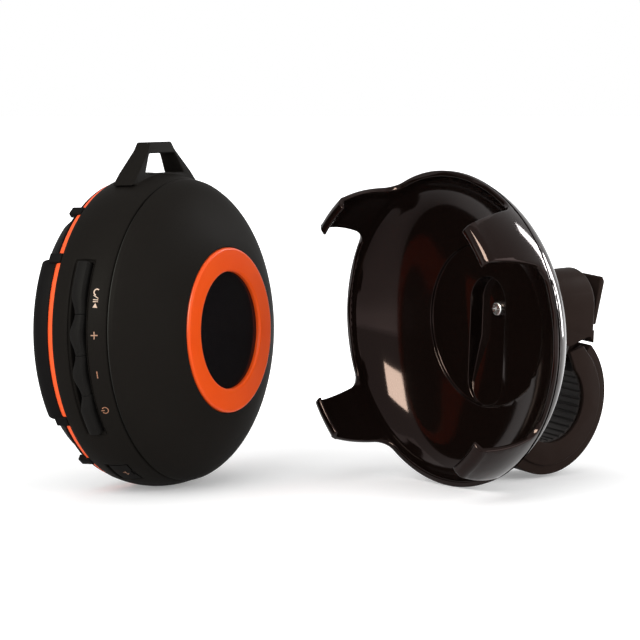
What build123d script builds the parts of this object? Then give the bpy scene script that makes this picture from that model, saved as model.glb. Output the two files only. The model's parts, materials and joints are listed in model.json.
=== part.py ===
"""Round splash-proof speaker with a hanging loop, and the bar-clamp cradle that carries it.

Millimetres. Each group is drawn in its own frame and then stood on the ground plane:
  speaker: +Z out of the grille, +Y towards the hanging loop, +X towards the keys,
           origin on the seam plane;
  cradle:  +Z out of the mouth, +Y up, +X to the right as one looks out of the bowl's back,
           origin on the rim plane.
The finished pair has its origin under the middle of its bounding box, +Z up.
"""

import os
from math import cos, radians, sin

from build123d import *

# ---------------------------------------------------------------- driving sizes
FIT_GAP = 0.3  # air left between pieces of different bodies
RUNNING_GAP = 0.05  # radial gap of a pin in its hole

# speaker body
SEAM_R = 46.6  # body radius at the seam between rear shell and rim band
CREASE_R = 47.3  # crease just in front of the seam
CREASE_Z = 2.2
CROWN_R = 48.6  # largest radius of the rim band
CROWN_Z = 8.6
FRONT_R = 47.3  # rim band's front edge
BAND_DEPTH = 19.0
BAND_BORE = 44.8  # inner radius of the rim band
SEAM_GAP = 0.4  # half of the visible seam groove
DOME_DEPTH = 14.6  # from the seam plane to the ring seat
RING_R = 25.3  # rear ring, outer
RING_BORE = 18.0  # rear ring, inner
RING_HEIGHT = 2.1
RING_PROUD = 0.8  # how far the rear ring stands behind the dome
SHELL_WALL = 2.2
PLATE_T = 0.7

# front: trim ring, bezel, grille
TRIM_HEIGHT = 2.25
TRIM_R = 46.9
BEZEL_R = 46.2
BEZEL_BORE = 36.0
BEZEL_TOP = 28.4
SEAT_ANGLE = 42.8  # claw seats, measured from the key side
TAB_SPREAD = 11.3  # tabs stand this far each side of a seat
TAB_ARC = 3.8
GRILLE_T = 1.3
GRILLE_RISE = 4.2
GRILLE_HOLE_R = 1.15
GRILLE_PITCH = 5.3

# hanging loop
LOOP_Z = 10.0
LOOP_TOP = 58.2
LOOP_T_BASE = 7.0
LOOP_T_TOP = 4.7
LOOP_BAR = 3.5

# keys, set in a slot along the rim band
KEY_Z = 9.4
KEY_WIDTH = 4.7
KEY_STEP = 14.3  # angle from key to key
KEY_FIRST = 16.9  # middle of the uppermost key
KEY_PROUD = 1.25
KEY_TRAVEL = 0.4
KEY_SPLIT = 0.35  # air between neighbouring keys
KEY_TOP_EXTRA = 4.6  # the uppermost key is this much longer at its outer end, in degrees
KEY_LOW_EXTRA = 1.4  # the same for the lowest key

# charging port
PORT_ANGLE = -59.2
PORT_ARC = 11.6
PORT_LOW = 6.2
PORT_HIGH = 13.4
FLAP_T = 1.6

# driver and inner pieces
BAFFLE_Z = 13.5
BAFFLE_T = 2.0
BAFFLE_HOLE_R = 34.0
DRIVER_FLANGE_R = 38.4
DRIVER_SCREW_R = 36.2
DRIVER_T = 1.5
CONE_R = 29.0
COIL_R = 11.8
BOARD_R = 35.0
BOARD_SCREW_R = 31.8
BOARD_Z = -5.2
HOUSING_SCREW_R = 41.4
HOUSING_SCREW_ANGLES = (55, 125, 195, 265)
BOSS_R = 2.8
SCREW_R = 1.0

# cradle bowl
SEAT_GAP = 0.5  # docked speaker to bowl
BOWL_WALL = 1.8
CLAW_ANGLE = 43.6
CLAW_HALF_TIP = 6.3  # half a claw's width at its tip
CLAW_HALF_ROOT = 10.8  # the same, where its edges would meet the rim
CLAW_FILLET = 5.0
CLAW_LIP = 2.8
CLAW_TIP_T = 1.9
POCKET_WIDTH = 15.6
POCKET_TOP = 15.0
POCKET_BOTTOM = -26.0
POCKET_FLOOR = 21.0
SHANK_R = 1.45  # swivel screw
NUT_R = 3.4
NUT_LENGTH = 7.0
SWIVEL_Y = 4.6  # height of the swivel axis above the bowl's axis

# clamp
BARREL_R = 10.7
BARREL_START = 24.6
BARREL_END = 52.4
RING_DEPTH = 36.3  # the jaw ring's axis behind the rim plane
RING_Y = -25.3
ARCH_LIFT = 3.0  # the arch's own centre lies this much higher
BAR_R = 12.4  # radius that the rib crests lie on
CHEEK_R = 13.0
FACE_R = 20.3
JAW_R = 23.5
PAD_T = 3.2
RIB_PITCH = 11.6  # degrees
JAW_HALF = 10.5
CHEEK_T = 1.6
JAW_REAR_ANGLE = 46.0
JAW_FRONT_ANGLE = -172.0
JAW_NOSE_DEPTH = 20.4
PIVOT_DEPTH = 47.8
PIVOT_Y = -1.6
PIN_R = 1.5
PIN_HALF = 9.0
RIB_GROOVE_R = 0.5
FIN_HALF = 8.5
FIN_TOP_Y = 13.2

# how the pair stands
SPEAKER_TURN = 62.2
SPEAKER_LEAN = 2.0
CRADLE_TURN = 51.5
CRADLE_LEAN = 2.0
CRADLE_ROLL = -5.1
SPACING = 80.5


# ---------------------------------------------------------------- helpers
def radial_plane(angle):
    """Plane through the axis: local x runs outwards at this angle, local y along +Z."""
    a = radians(angle)
    return Plane(origin=(0, 0, 0), x_dir=(cos(a), sin(a), 0), z_dir=(sin(a), -cos(a), 0))


def tangent_plane(angle, radius, z=0):
    """Plane square to the radius at this angle: local x runs round, local y along +Z."""
    a = radians(angle)
    return Plane(
        origin=(radius * cos(a), radius * sin(a), z),
        x_dir=(-sin(a), cos(a), 0),
        z_dir=(cos(a), sin(a), 0),
    )


def dome_depth(r):
    """Depth of the rear dome behind the seam plane at radius r, a superellipse."""
    power = 1.75
    full = DOME_DEPTH / (1 - (RING_R / SEAM_R) ** power) ** (1 / power)
    return full * (1 - (r / SEAM_R) ** power) ** (1 / power)


def block(r_low, r_high, z_low, z_high):
    """Adds the rectangle between two radii and two heights to a sketch on a radial plane."""
    with Locations(((r_low + r_high) / 2, (z_low + z_high) / 2)):
        Rectangle(r_high - r_low, z_high - z_low)


# the rim band's cross-section, drawn once: x is the radius, y the height along +Z
with BuildSketch(Plane.XY) as band_section:
    with BuildLine():
        Polyline((BAND_BORE, SEAM_GAP), (SEAM_R, SEAM_GAP), (CREASE_R, CREASE_Z))
        ThreePointArc((CREASE_R, CREASE_Z), (CROWN_R, CROWN_Z + 0.6), (FRONT_R, BAND_DEPTH))
        Polyline((FRONT_R, BAND_DEPTH), (BAND_BORE, BAND_DEPTH), (BAND_BORE, SEAM_GAP))
    make_face()


# ---------------------------------------------------------------- speaker: shells
KEY_TOP_ANGLE = KEY_FIRST + KEY_STEP / 2 + KEY_TOP_EXTRA
KEY_LOW_ANGLE = KEY_FIRST - 3.5 * KEY_STEP - KEY_LOW_EXTRA
KEY_SLOT_HALF = KEY_WIDTH / 2 + FIT_GAP
KEY_GAP_ANGLE = 0.4  # about FIT_GAP at the crown
PORT_START = PORT_ANGLE - PORT_ARC / 2
HINGE_R = 0.9
HINGE_Z = PORT_HIGH - HINGE_R - 0.1
HINGE_RADIUS = CROWN_R - 1.4  # how far out the flap's hinge barrel lies
HINGE_HALF = 4.6
AXLE_R = 0.5
AXLE_HALF = 5.9
HINGE_PLANE = Plane(
    origin=(
        HINGE_RADIUS * cos(radians(PORT_ANGLE)),
        HINGE_RADIUS * sin(radians(PORT_ANGLE)),
        HINGE_Z,
    ),
    x_dir=(0, 0, 1),
    z_dir=(-sin(radians(PORT_ANGLE)), cos(radians(PORT_ANGLE)), 0),
)
SOCKET = (8.0, 3.0, 5.4)  # charging socket: round the rim, along the axis, deep
LOOP_BASE = 45.3
LOOP_HALF_BASE = 19.6
LOOP_HALF_TOP = 6.4

with BuildPart() as rim_band:
    with BuildSketch(Plane.XZ):
        add(band_section.sketch)
    revolve(axis=Axis.Z)
    with BuildSketch(Plane.XY.offset(BAFFLE_Z)):
        Circle(BAND_BORE + 0.6)
        Circle(BAFFLE_HOLE_R, mode=Mode.SUBTRACT)
        with PolarLocations(DRIVER_SCREW_R, 4, start_angle=45):
            Circle(SCREW_R, mode=Mode.SUBTRACT)
        for angle in HOUSING_SCREW_ANGLES:
            with PolarLocations(HOUSING_SCREW_R, 1, start_angle=angle):
                Circle(SCREW_R, mode=Mode.SUBTRACT)
    extrude(amount=BAFFLE_T)
    # hanging loop: a tapered frame that thins towards its top bar
    with BuildSketch(Plane.XY.offset(LOOP_Z - LOOP_T_BASE / 2)):
        with BuildLine():
            Polyline(
                (-LOOP_HALF_BASE, LOOP_BASE),
                (-LOOP_HALF_TOP - 1.6, LOOP_TOP - 2.4),
                (-LOOP_HALF_TOP, LOOP_TOP),
                (LOOP_HALF_TOP, LOOP_TOP),
                (LOOP_HALF_TOP + 1.6, LOOP_TOP - 2.4),
                (LOOP_HALF_BASE, LOOP_BASE),
                close=True,
            )
        make_face()
    extrude(amount=LOOP_T_BASE)
    with BuildSketch(Plane.XY.offset(LOOP_Z - LOOP_T_BASE)):
        with BuildLine():
            Polyline(
                (-11.2, CROWN_R),
                (-7.4, LOOP_TOP - LOOP_BAR),
                (7.4, LOOP_TOP - LOOP_BAR),
                (11.2, CROWN_R),
                close=True,
            )
        make_face()
        fillet(vertices().group_by(Axis.Y)[-1], 1.6)
    extrude(amount=2 * LOOP_T_BASE, mode=Mode.SUBTRACT)
    for side in (-1, 1):
        with BuildSketch(Plane.YZ):
            with BuildLine():
                Polyline(
                    (CROWN_R + 0.4, LOOP_Z + side * LOOP_T_BASE / 2),
                    (LOOP_TOP, LOOP_Z + side * LOOP_T_TOP / 2),
                    (LOOP_TOP + 1, LOOP_Z + side * LOOP_T_TOP / 2),
                    (LOOP_TOP + 1, LOOP_Z + side * (LOOP_T_BASE / 2 + 1)),
                    (CROWN_R + 0.4, LOOP_Z + side * (LOOP_T_BASE / 2 + 1)),
                    close=True,
                )
            make_face()
        extrude(amount=LOOP_HALF_BASE, both=True, mode=Mode.SUBTRACT)
    # key slot through the wall, in a shallow tray
    with BuildSketch(radial_plane(KEY_LOW_ANGLE - KEY_GAP_ANGLE)):
        block(BAND_BORE - 2, CROWN_R + 3, KEY_Z - KEY_SLOT_HALF, KEY_Z + KEY_SLOT_HALF)
    key_slot_arc = KEY_TOP_ANGLE - KEY_LOW_ANGLE + 2 * KEY_GAP_ANGLE
    revolve(axis=Axis.Z, revolution_arc=key_slot_arc, mode=Mode.SUBTRACT)
    with BuildSketch(radial_plane(KEY_LOW_ANGLE - 3 * KEY_GAP_ANGLE)):
        block(CROWN_R - 0.7, CROWN_R + 3, KEY_Z - KEY_SLOT_HALF - 0.7, KEY_Z + KEY_SLOT_HALF + 0.7)
    revolve(axis=Axis.Z, revolution_arc=key_slot_arc + 4 * KEY_GAP_ANGLE, mode=Mode.SUBTRACT)
    # housing of the charging socket, inside the wall, then its tunnel and the flap's pocket
    with BuildSketch(tangent_plane(PORT_ANGLE, BAND_BORE - 5.4, KEY_Z)):
        Rectangle(SOCKET[0] + 3, SOCKET[1] + 3)
    extrude(amount=6.2)
    with BuildSketch(tangent_plane(PORT_ANGLE, BAND_BORE - 5.6, KEY_Z)):
        Rectangle(SOCKET[0] + 2 * RUNNING_GAP, SOCKET[1] + 2 * RUNNING_GAP)
    extrude(amount=9, mode=Mode.SUBTRACT)
    with BuildSketch(radial_plane(PORT_START - KEY_GAP_ANGLE)):
        block(CROWN_R - FLAP_T - FIT_GAP, CROWN_R + 2, PORT_LOW - FIT_GAP, PORT_HIGH + FIT_GAP)
    revolve(axis=Axis.Z, revolution_arc=PORT_ARC + 2 * KEY_GAP_ANGLE, mode=Mode.SUBTRACT)
    # groove for the flap's hinge barrel and holes for its axle
    with BuildSketch(HINGE_PLANE):
        Circle(HINGE_R + 0.4)
    extrude(amount=HINGE_HALF + FIT_GAP, both=True, mode=Mode.SUBTRACT)
    with BuildSketch(HINGE_PLANE):
        Circle(AXLE_R + RUNNING_GAP)
    extrude(amount=AXLE_HALF + 0.2, both=True, mode=Mode.SUBTRACT)


def dome_line(shift, r_out, r_in):
    """Adds the dome's curve to a BuildLine, sunk by shift, from one radius to a smaller one."""
    steps = 5
    radii = [r_out + (r_in - r_out) * i / steps for i in range(steps + 1)]
    points = [(r, -dome_depth(r) - shift) for r in radii]
    return Spline(*points)


DOME_OUT_R = SEAM_R - 0.35  # where the dome's curve starts, just inside the seam
DOME_FLOOR = DOME_DEPTH + RING_PROUD - RING_HEIGHT  # depth of the seat under the rear ring
INNER_FLOOR = DOME_FLOOR - 1.8  # depth of the cavity's floor

with BuildPart() as rear_shell:
    with BuildSketch(Plane.XZ):
        with BuildLine():
            outer = dome_line(0, DOME_OUT_R, RING_R + 0.3)
            Polyline(
                outer @ 1,
                (RING_R + 0.3, -DOME_FLOOR),
                (0, -DOME_FLOOR),
                (0, -INNER_FLOOR),
                (RING_BORE + 4, -INNER_FLOOR),
            )
            Spline(
                (RING_BORE + 4, -INNER_FLOOR),
                (RING_BORE + 13, -INNER_FLOOR + 2.1),
                (BAND_BORE - 3.4, -5.2),
                (BAND_BORE - 0.6, -SEAM_GAP),
            )
            Polyline(
                (BAND_BORE - 0.6, -SEAM_GAP),
                (SEAM_R, -SEAM_GAP),
                (DOME_OUT_R, -dome_depth(DOME_OUT_R)),
            )
        make_face()
    revolve(axis=Axis.Z)
    # long bosses that the housing screws pull against the baffle
    for angle in HOUSING_SCREW_ANGLES:
        base_depth = dome_depth(HOUSING_SCREW_R + BOSS_R) - 1.2
        with BuildSketch(Plane.XY.offset(-base_depth)):
            with PolarLocations(HOUSING_SCREW_R, 1, start_angle=angle):
                Circle(BOSS_R)
        extrude(amount=base_depth + BAFFLE_Z)
    # posts for the main board
    post_depth = dome_depth(BOARD_SCREW_R + 2.2) - 0.8
    with BuildSketch(Plane.XY.offset(-post_depth)):
        with PolarLocations(BOARD_SCREW_R, 4, start_angle=20):
            Circle(2.2)
    extrude(amount=post_depth + BOARD_Z)
    with BuildSketch(Plane.XY.offset(BAFFLE_Z - 9)):
        for angle in HOUSING_SCREW_ANGLES:
            with PolarLocations(HOUSING_SCREW_R, 1, start_angle=angle):
                Circle(SCREW_R)
    extrude(amount=10, mode=Mode.SUBTRACT)
    with BuildSketch(Plane.XY.offset(BOARD_Z - 4)):
        with PolarLocations(BOARD_SCREW_R, 4, start_angle=20):
            Circle(0.8)
    extrude(amount=5, mode=Mode.SUBTRACT)

with BuildPart() as seam_gasket:
    with BuildSketch(Plane.XZ):
        block(BAND_BORE + 0.2, SEAM_R - 0.7, -SEAM_GAP, SEAM_GAP)
    revolve(axis=Axis.Z)

with BuildPart() as rear_ring:
    with BuildSketch(Plane.XZ):
        block(RING_BORE, RING_R, -DOME_FLOOR - RING_HEIGHT, -DOME_FLOOR)
        fillet(vertices().group_by(Axis.Y)[0], 0.8)
    revolve(axis=Axis.Z)

with BuildPart() as rear_plate:
    with BuildSketch(Plane.XY.offset(-DOME_FLOOR - PLATE_T)):
        Circle(RING_BORE - 0.1)
    extrude(amount=PLATE_T)

# ---------------------------------------------------------------- speaker: front
TRIM_Z = BAND_DEPTH
BEZEL_Z = TRIM_Z + TRIM_HEIGHT
SEATS = (SEAT_ANGLE, 180 - SEAT_ANGLE, 180 + SEAT_ANGLE, -SEAT_ANGLE)
TAB_ANGLES = [seat + side * TAB_SPREAD for seat in SEATS for side in (-1, 1)]
TAB_INNER = BAND_BORE + 0.7
SLOPE_HALF = 90 - SEAT_ANGLE - TAB_SPREAD  # half the arc over which the bezel slopes away

with BuildPart() as front_trim_ring:
    with BuildSketch(Plane.XZ):
        with BuildLine():
            Polyline(
                (BAND_BORE + 0.1, TRIM_Z),
                (TRIM_R, TRIM_Z),
                (TRIM_R - 0.2, TRIM_Z + 0.6 * TRIM_HEIGHT),
                (BEZEL_R - 0.3, BEZEL_Z),
                (BAND_BORE + 0.1, BEZEL_Z),
                close=True,
            )
        make_face()
    revolve(axis=Axis.Z)
    for angle in TAB_ANGLES:
        with BuildSketch(radial_plane(angle - TAB_ARC / 2 - 0.15)):
            block(TAB_INNER - 0.05, CROWN_R, TRIM_Z - 1, BEZEL_Z + 1)
        revolve(axis=Axis.Z, revolution_arc=TAB_ARC + 0.3, mode=Mode.SUBTRACT)

with BuildPart() as front_bezel:
    with BuildSketch(Plane.XZ):
        with BuildLine():
            Polyline(
                (BEZEL_BORE, BEZEL_Z),
                (BAND_BORE - 2.4, BEZEL_Z),
                (BAND_BORE - 2.4, BAFFLE_Z + BAFFLE_T + 2.3),
                (BAND_BORE - 0.2, BAFFLE_Z + BAFFLE_T + 2.3),
                (BAND_BORE - 0.2, BEZEL_Z),
                (BEZEL_R, BEZEL_Z),
                (BEZEL_R + 0.1, BEZEL_Z + 2.4),
            )
            ThreePointArc((BEZEL_R + 0.1, BEZEL_Z + 2.4), (BEZEL_R - 1, BEZEL_TOP - 1.6), (42.4, BEZEL_TOP))
            Polyline((42.4, BEZEL_TOP), (39.0, BEZEL_TOP - 0.3), (BEZEL_BORE, BEZEL_TOP - 2.2), (BEZEL_BORE, BEZEL_Z))
        make_face()
    revolve(axis=Axis.Z)
    for seat in SEATS:
        with BuildSketch(radial_plane(seat - TAB_SPREAD)):
            with BuildLine():
                Polyline(
                    (BEZEL_R + 3, BEZEL_Z + 0.8),
                    (BEZEL_R - 1.5, BEZEL_Z + 0.8),
                    (BEZEL_R - 2.1, BEZEL_Z + 2.6),
                    (BEZEL_R - 6.0, BEZEL_TOP + 1),
                    (BEZEL_R + 3, BEZEL_TOP + 1),
                    close=True,
                )
            make_face()
        revolve(axis=Axis.Z, revolution_arc=2 * TAB_SPREAD, mode=Mode.SUBTRACT)
    # towards the loop and below, the bezel's outer half slopes down to the trim ring
    for middle in (90, 270):
        with BuildSketch(radial_plane(middle - SLOPE_HALF)):
            with BuildLine():
                Polyline(
                    (BEZEL_R + 1, BEZEL_Z + 0.1),
                    (BEZEL_BORE + 2.5, BEZEL_Z + 4.4),
                    (BEZEL_BORE + 2.5, BEZEL_TOP + 1),
                    (BEZEL_R + 1, BEZEL_TOP + 1),
                    close=True,
                )
            make_face()
        revolve(axis=Axis.Z, revolution_arc=2 * SLOPE_HALF, mode=Mode.SUBTRACT)
    for angle in TAB_ANGLES:
        with BuildSketch(radial_plane(angle - TAB_ARC / 2)):
            block(TAB_INNER, FRONT_R + 0.1, TRIM_Z + 0.1, BEZEL_Z + 2.2)
        revolve(axis=Axis.Z, revolution_arc=TAB_ARC)

GRILLE_RIM_Z = BEZEL_Z - GRILLE_T
with BuildPart() as grille:
    with BuildSketch(Plane.XZ):
        with BuildLine():
            Polyline((0, BEZEL_Z + GRILLE_RISE), (0, GRILLE_RIM_Z + GRILLE_RISE))
            ThreePointArc(
                (0, GRILLE_RIM_Z + GRILLE_RISE),
                (18, GRILLE_RIM_Z + GRILLE_RISE * 0.74),
                (BEZEL_BORE - 0.6, GRILLE_RIM_Z),
            )
            Polyline(
                (BEZEL_BORE - 0.6, GRILLE_RIM_Z),
                (BAND_BORE - 2.7, GRILLE_RIM_Z),
                (BAND_BORE - 2.7, BEZEL_Z),
                (BEZEL_BORE - 0.6, BEZEL_Z),
            )
            ThreePointArc(
                (BEZEL_BORE - 0.6, BEZEL_Z),
                (18, BEZEL_Z + GRILLE_RISE * 0.74),
                (0, BEZEL_Z + GRILLE_RISE),
            )
        make_face()
    revolve(axis=Axis.Z)
    with BuildSketch(Plane.XY.offset(GRILLE_RIM_Z - 1)):
        Circle(GRILLE_HOLE_R)
        for ring in range(1, 7):
            with PolarLocations(ring * GRILLE_PITCH, 6 * ring, start_angle=15 * ring):
                Circle(GRILLE_HOLE_R)
    extrude(amount=GRILLE_RISE + 4, mode=Mode.SUBTRACT)

with BuildPart() as acoustic_mesh:
    with BuildSketch(Plane.XY.offset(GRILLE_RIM_Z - 0.4)):
        Circle(BAND_BORE - 3)
    extrude(amount=0.4)

# ---------------------------------------------------------------- speaker: keys
KEY_NAMES = ("key_play", "key_volume_up", "key_volume_down", "key_power")
KEY_ANGLES = [KEY_FIRST - i * KEY_STEP for i in range(4)]
FLANGE_OUT = BAND_BORE - 0.25
FLANGE_IN = FLANGE_OUT - 0.65
keys = []
for index, centre in enumerate(KEY_ANGLES):
    split_angle = KEY_SPLIT / CROWN_R * 57.3 / 2
    low = centre - KEY_STEP / 2 + split_angle
    high = centre + KEY_STEP / 2 - split_angle
    if index == 0:
        high = KEY_TOP_ANGLE
    if index == 3:
        low = KEY_LOW_ANGLE
    with BuildPart() as key:
        with BuildSketch(radial_plane(low)):
            block(FLANGE_OUT - 0.1, CROWN_R + KEY_PROUD, KEY_Z - KEY_WIDTH / 2, KEY_Z + KEY_WIDTH / 2)
            fillet(vertices().group_by(Axis.X)[-1], 0.9)
        revolve(axis=Axis.Z, revolution_arc=high - low)
        with BuildSketch(radial_plane(centre - 5.2)):
            block(FLANGE_IN, FLANGE_OUT, KEY_Z - KEY_WIDTH / 2 - 1, KEY_Z + KEY_WIDTH / 2 + 1)
        revolve(axis=Axis.Z, revolution_arc=10.4)
    keys.append(key)

with BuildPart() as key_board:
    with BuildSketch(radial_plane(KEY_LOW_ANGLE + 1)):
        block(BAND_BORE - 3.9, BAND_BORE - 2.8, KEY_Z - 4.2, BAFFLE_Z)
    revolve(axis=Axis.Z, revolution_arc=KEY_TOP_ANGLE - KEY_LOW_ANGLE - 2)

SWITCH_SEAT = BAND_BORE - 2.75
SWITCH_TOP = FLANGE_IN - KEY_TRAVEL - 0.08
with BuildPart() as key_switches:
    for angle in KEY_ANGLES:
        with BuildSketch(tangent_plane(angle, SWITCH_SEAT, KEY_Z)):
            Rectangle(3.4, 3.4)
        extrude(amount=0.8)
        with BuildSketch(tangent_plane(angle, SWITCH_SEAT, KEY_Z)):
            Circle(0.8)
        extrude(amount=SWITCH_TOP - SWITCH_SEAT)

# ---------------------------------------------------------------- speaker: port
with BuildPart() as port_flap:
    with BuildSketch(radial_plane(PORT_START)):
        add(band_section.sketch)
        with Locations((CROWN_R, (PORT_LOW + HINGE_Z) / 2)):
            Rectangle(2 * FLAP_T, HINGE_Z - PORT_LOW, mode=Mode.INTERSECT)
    revolve(axis=Axis.Z, revolution_arc=PORT_ARC)
    with BuildSketch(HINGE_PLANE):
        Circle(HINGE_R)
    extrude(amount=HINGE_HALF, both=True)
    with BuildSketch(HINGE_PLANE):
        Circle(AXLE_R)
    extrude(amount=AXLE_HALF, both=True)
    # finger notch in the edge away from the hinge
    with BuildSketch(tangent_plane(PORT_ANGLE, CROWN_R - 0.7, PORT_LOW)):
        SlotOverall(3.2, 1.2)
    extrude(amount=2, mode=Mode.SUBTRACT)

with BuildPart() as usb_socket:
    with BuildSketch(tangent_plane(PORT_ANGLE, BAND_BORE - SOCKET[2], KEY_Z)):
        Rectangle(SOCKET[0], SOCKET[1])
        fillet(vertices(), 0.7)
    extrude(amount=SOCKET[2])
    with BuildSketch(tangent_plane(PORT_ANGLE, BAND_BORE - SOCKET[2] + 1, KEY_Z)):
        Rectangle(SOCKET[0] - 0.8, SOCKET[1] - 0.8)
        fillet(vertices(), 0.4)
    extrude(amount=SOCKET[2], mode=Mode.SUBTRACT)
    with BuildSketch(tangent_plane(PORT_ANGLE, BAND_BORE - SOCKET[2] + 0.9, KEY_Z)):
        Rectangle(SOCKET[0] - 2.6, 0.6)
    extrude(amount=SOCKET[2] - 1.9)

# ---------------------------------------------------------------- speaker: driver
FLANGE_Z = BAFFLE_Z + BAFFLE_T
MAGNET_TOP = 4.0
YOKE_R = 15.0
with BuildPart() as driver_basket:
    with BuildSketch(Plane.XZ):
        with BuildLine():
            Polyline(
                (DRIVER_FLANGE_R, FLANGE_Z),
                (DRIVER_FLANGE_R, FLANGE_Z + DRIVER_T),
                (CONE_R + 3.4, FLANGE_Z + DRIVER_T),
                (CONE_R + 3.4, FLANGE_Z - 2.4),
                (YOKE_R + 4, MAGNET_TOP + 1.2),
                (YOKE_R - 2.6, MAGNET_TOP + 1.2),
                (YOKE_R - 2.6, MAGNET_TOP),
                (YOKE_R + 4.6, MAGNET_TOP),
                (CONE_R + 4.6, FLANGE_Z - 2.8),
                (CONE_R + 4.6, FLANGE_Z),
                close=True,
            )
        make_face()
    revolve(axis=Axis.Z)
    for i in range(4):
        with BuildSketch(Plane.XY.offset(MAGNET_TOP + 2.2)):
            with PolarLocations((YOKE_R + CONE_R) / 2 + 3, 1, start_angle=45 + 90 * i):
                RectangleRounded(9, 18, 2)
        extrude(amount=6, mode=Mode.SUBTRACT)
    with BuildSketch(Plane.XY.offset(FLANGE_Z - 1)):
        with PolarLocations(DRIVER_SCREW_R, 4, start_angle=45):
            Circle(SCREW_R)
    extrude(amount=4, mode=Mode.SUBTRACT)

with BuildPart() as driver_surround:
    with BuildSketch(Plane.XZ):
        with BuildLine():
            Polyline(
                (DRIVER_FLANGE_R - 4.2, FLANGE_Z + DRIVER_T),
                (CONE_R + 4.0, FLANGE_Z + DRIVER_T),
                (CONE_R + 3.2, FLANGE_Z + DRIVER_T),
            )
            ThreePointArc(
                (CONE_R + 3.2, FLANGE_Z + DRIVER_T),
                (CONE_R + 1.9, FLANGE_Z + DRIVER_T + 1.0),
                (CONE_R + 0.6, FLANGE_Z + DRIVER_T),
            )
            Polyline(
                (CONE_R + 0.6, FLANGE_Z + DRIVER_T),
                (CONE_R + RUNNING_GAP, FLANGE_Z + DRIVER_T),
                (CONE_R + RUNNING_GAP, FLANGE_Z + DRIVER_T + 0.5),
                (CONE_R + 0.4, FLANGE_Z + DRIVER_T + 0.5),
            )
            ThreePointArc(
                (CONE_R + 0.4, FLANGE_Z + DRIVER_T + 0.5),
                (CONE_R + 1.9, FLANGE_Z + DRIVER_T + 1.7),
                (CONE_R + 3.6, FLANGE_Z + DRIVER_T + 0.5),
            )
            Polyline(
                (CONE_R + 3.6, FLANGE_Z + DRIVER_T + 0.5),
                (DRIVER_FLANGE_R - 4.2, FLANGE_Z + DRIVER_T + 0.5),
                (DRIVER_FLANGE_R - 4.2, FLANGE_Z + DRIVER_T),
            )
        make_face()
    revolve(axis=Axis.Z)

CONE_NECK_Z = MAGNET_TOP + 4.6
CAP_TOP = CONE_NECK_Z + 3.9  # dust cap
with BuildPart() as driver_cone:
    with BuildSketch(Plane.XZ):
        with BuildLine():
            Polyline(
                (CONE_R, FLANGE_Z + DRIVER_T - 0.2),
                (CONE_R, FLANGE_Z + DRIVER_T + 0.5),
                (CONE_R - 1.4, FLANGE_Z + DRIVER_T + 0.5),
                (COIL_R + 1.2, CONE_NECK_Z + 0.8),
            )
            TangentArc((0, CAP_TOP), (COIL_R + 1.2, CONE_NECK_Z + 0.8), tangent=(1, 0))
            Line((0, CAP_TOP), (0, CAP_TOP - 0.6))
            TangentArc((0, CAP_TOP - 0.6), (COIL_R, CONE_NECK_Z + 0.6), tangent=(1, 0))
            Polyline(
                (COIL_R, CONE_NECK_Z + 0.6),
                (COIL_R, CONE_NECK_Z),
                (COIL_R + 1.2, CONE_NECK_Z),
                (CONE_R, FLANGE_Z + DRIVER_T - 0.2),
            )
        make_face()
    revolve(axis=Axis.Z)

with BuildPart() as voice_coil:
    with BuildSketch(Plane.XZ):
        block(COIL_R - 0.4, COIL_R, MAGNET_TOP - 1.2, CONE_NECK_Z + 0.6)
        block(COIL_R, COIL_R + 0.4, MAGNET_TOP - 1.2, MAGNET_TOP + 1.2)
    revolve(axis=Axis.Z)

YOKE_BACK = BOARD_Z + 3.2
with BuildPart() as driver_yoke:
    with BuildSketch(Plane.XZ):
        with BuildLine():
            Polyline(
                (0, YOKE_BACK),
                (YOKE_R, YOKE_BACK),
                (YOKE_R, MAGNET_TOP),
                (COIL_R + 0.9, MAGNET_TOP),
                (COIL_R + 0.9, YOKE_BACK + 1.6),
                (0, YOKE_BACK + 1.6),
                close=True,
            )
        make_face()
    revolve(axis=Axis.Z)

with BuildPart() as driver_magnet:
    with BuildSketch(Plane.XY.offset(YOKE_BACK + 1.6)):
        Circle(COIL_R - 1.0)
    extrude(amount=MAGNET_TOP - YOKE_BACK - 1.6)
    chamfer(edges().group_by(Axis.Z)[-1], 0.4)

# ---------------------------------------------------------------- speaker: screws and electronics
HEAD_T = 1.5
with BuildPart() as housing_screws:
    for angle in HOUSING_SCREW_ANGLES:
        for low, height, radius in ((FLANGE_Z, HEAD_T, 2.1), (BAFFLE_Z - 8.5, 8.5 + BAFFLE_T, SCREW_R)):
            with BuildSketch(Plane.XY.offset(low)):
                with PolarLocations(HOUSING_SCREW_R, 1, start_angle=angle):
                    Circle(radius)
            extrude(amount=height)

with BuildPart() as driver_screws:
    with BuildSketch(Plane.XY.offset(FLANGE_Z + DRIVER_T)):
        with PolarLocations(DRIVER_SCREW_R, 4, start_angle=45):
            Circle(1.8)
    extrude(amount=1.0)
    with BuildSketch(Plane.XY.offset(BAFFLE_Z)):
        with PolarLocations(DRIVER_SCREW_R, 4, start_angle=45):
            Circle(SCREW_R)
    extrude(amount=BAFFLE_T + DRIVER_T)

with BuildPart() as main_board:
    with BuildSketch(Plane.XY.offset(BOARD_Z)):
        Circle(BOARD_R)
        with PolarLocations(BOARD_SCREW_R, 4, start_angle=20):
            Circle(SCREW_R, mode=Mode.SUBTRACT)
    extrude(amount=1.2)
    # amplifier, radio module and a capacitor, on the side towards the driver
    with BuildSketch(Plane.XY.offset(BOARD_Z + 1.2)):
        with Locations((21, -10)):
            Rectangle(9, 9)
        with Locations((-20, 12)):
            Rectangle(14, 10)
        with Locations((-6, -24)):
            Circle(3.2)
    extrude(amount=1.4)

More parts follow.
